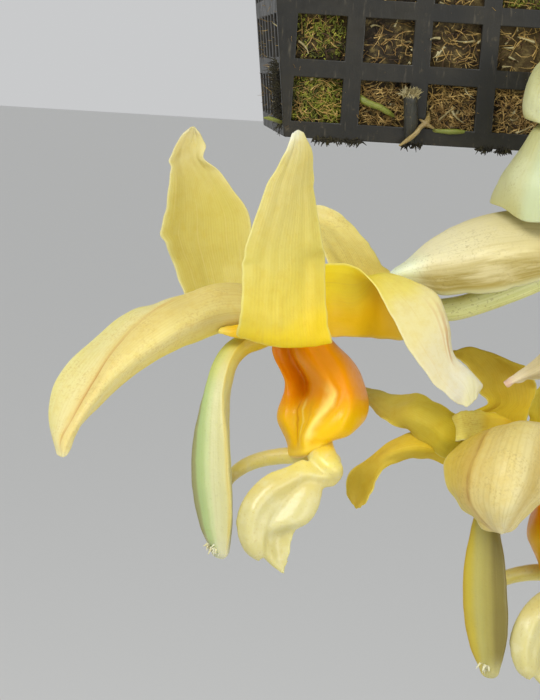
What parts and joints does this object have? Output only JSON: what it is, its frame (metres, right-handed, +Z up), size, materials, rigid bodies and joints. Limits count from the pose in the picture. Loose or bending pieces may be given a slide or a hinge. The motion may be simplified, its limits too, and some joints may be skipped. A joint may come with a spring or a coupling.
{
  "type": "stanhopea shuttleworthii in basket",
  "caption": "Hanging orchid in a square lattice basket on a wire hanger, its pendent spike of yellow, orange-lipped flowers below the basket and broad pleated leaves above.",
  "frame": {"origin": "under the crown of the hanger's hook, where the hook rests on a rail, above the basket's centre", "axes": "+Z up, -Y towards the basket's front wall, under which the flower spike hangs, +X to the right of that wall"},
  "size_m": [0.4056, 0.4056, 0.5473],
  "materials": {
    "basket": "satin",
    "wire": "satin",
    "medium": "matte",
    "bulb": "satin",
    "leaf": "satin",
    "stalk": "satin",
    "ovary": "satin",
    "bract": "matte",
    "sepal": "satin",
    "petal": "satin",
    "sac": "gloss",
    "forelip": "gloss",
    "column": "satin"
  },
  "bodies": {
    "root": {"basket": "basket", "hanger_hook": "wire", "hanger_wire_1": "wire", "hanger_wire_2": "wire", "hanger_wire_3": "wire", "hanger_wire_4": "wire", "spike_stalk": "stalk", "flower_1_ovary": "ovary", "flower_1_column": "column", "flower_1_lip_sac": "sac", "flower_1_lip_forepart": "forelip", "flower_1_dorsal_sepal": "sepal", "flower_1_petal_near": "petal", "flower_1_petal_far": "petal", "flower_1_lateral_sepal_near": "sepal", "flower_1_lateral_sepal_far": "sepal", "flower_1_bract": "bract", "flower_2_ovary": "ovary", "flower_2_column": "column", "flower_2_lip_sac": "sac", "flower_2_lip_forepart": "forelip", "flower_2_dorsal_sepal": "sepal", "flower_2_petal_near": "petal", "flower_2_petal_far": "petal", "flower_2_lateral_sepal_near": "sepal", "flower_2_lateral_sepal_far": "sepal", "flower_2_bract": "bract", "flower_3_ovary": "ovary", "flower_3_column": "column", "flower_3_lip_sac": "sac", "flower_3_lip_forepart": "forelip", "flower_3_dorsal_sepal": "sepal", "flower_3_petal_near": "petal", "flower_3_petal_far": "petal", "flower_3_lateral_sepal_near": "sepal", "flower_3_lateral_sepal_far": "sepal", "flower_3_bract": "bract", "spike_sheath_1": "bract", "spike_sheath_2": "bract", "pseudobulb_1": "bulb", "leaf_1": "leaf", "pseudobulb_2": "bulb", "leaf_2": "leaf", "pseudobulb_3": "bulb", "leaf_3": "leaf", "pseudobulb_4": "bulb", "leaf_4": "leaf", "growing_medium": "medium"}
  },
  "joints": []
}
